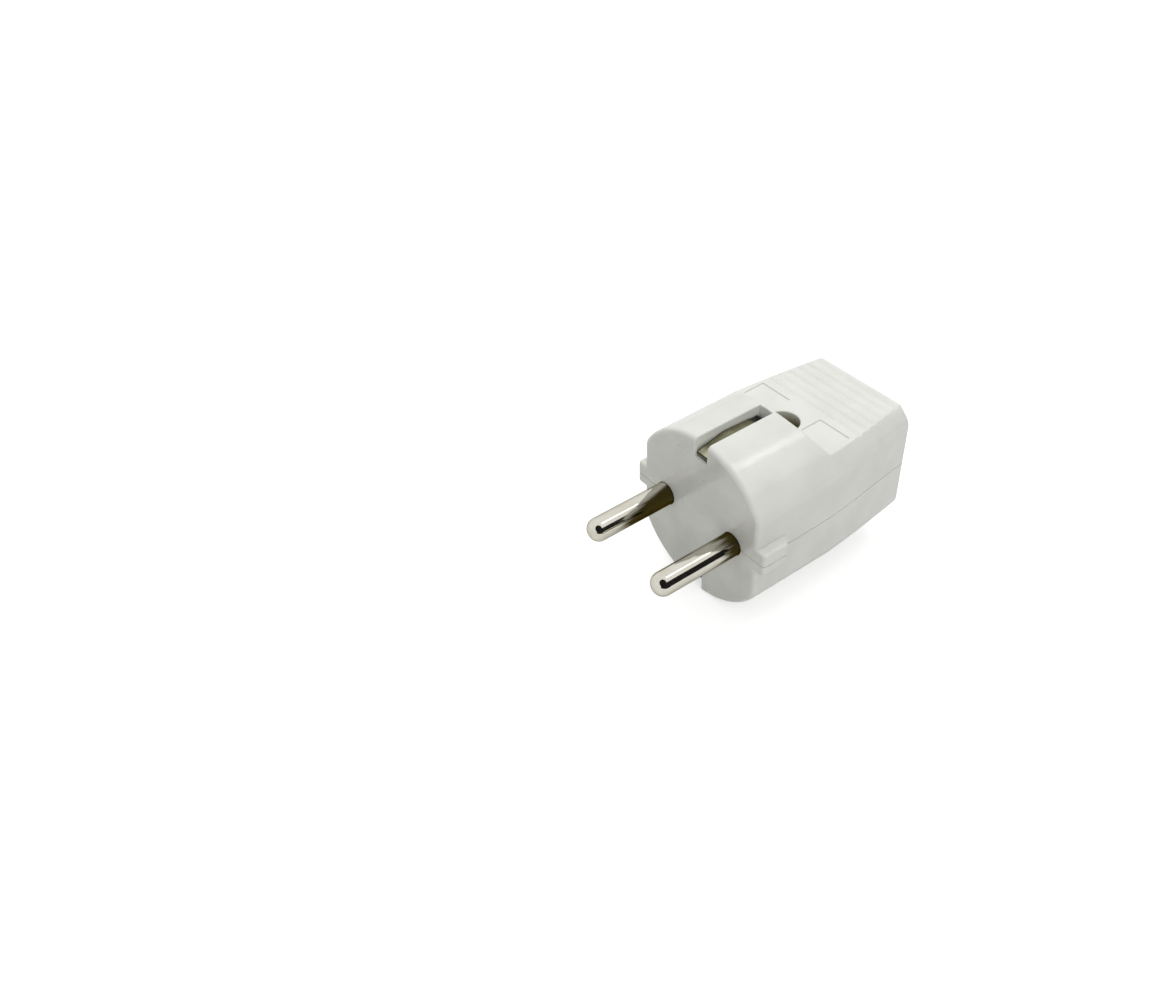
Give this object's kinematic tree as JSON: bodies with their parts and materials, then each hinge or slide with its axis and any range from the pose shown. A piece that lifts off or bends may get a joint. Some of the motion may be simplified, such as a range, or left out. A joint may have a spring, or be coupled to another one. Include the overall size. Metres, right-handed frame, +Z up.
{
  "type": "earthed mains plug",
  "caption": "Rewirable earthed mains plug in two moulded half shells, with round contact pins, an earth strip in slots, guide tabs, a ribbed grip and a cord clamp.",
  "frame": {"origin": "centre of the engagement face, midway between the pins, in the plane where the half shells meet", "axes": "+X across the pins, +Y from the face towards the cord entry, +Z up towards the half shell with the nut; the pins point along -Y"},
  "size_m": [0.0364, 0.062, 0.037],
  "materials": {
    "housing": "moulded, smooth, semi-gloss",
    "contact_pins": "nickel plated, bright",
    "earth_contact": "nickel plated spring strip",
    "fasteners": "zinc plated",
    "clamp": "moulded"
  },
  "bodies": {
    "root": {"upper_shell": "housing", "lower_shell": "housing", "left_pin": "contact_pins", "right_pin": "contact_pins", "left_terminal_screw": "fasteners", "right_terminal_screw": "fasteners", "earth_strip": "earth_contact", "earth_screw": "fasteners", "earth_clamp_plate": "fasteners", "earth_nut": "fasteners", "cord_clamp": "clamp", "left_clamp_screw": "fasteners", "right_clamp_screw": "fasteners", "closing_screw": "fasteners", "closing_nut": "fasteners"}
  },
  "joints": []
}
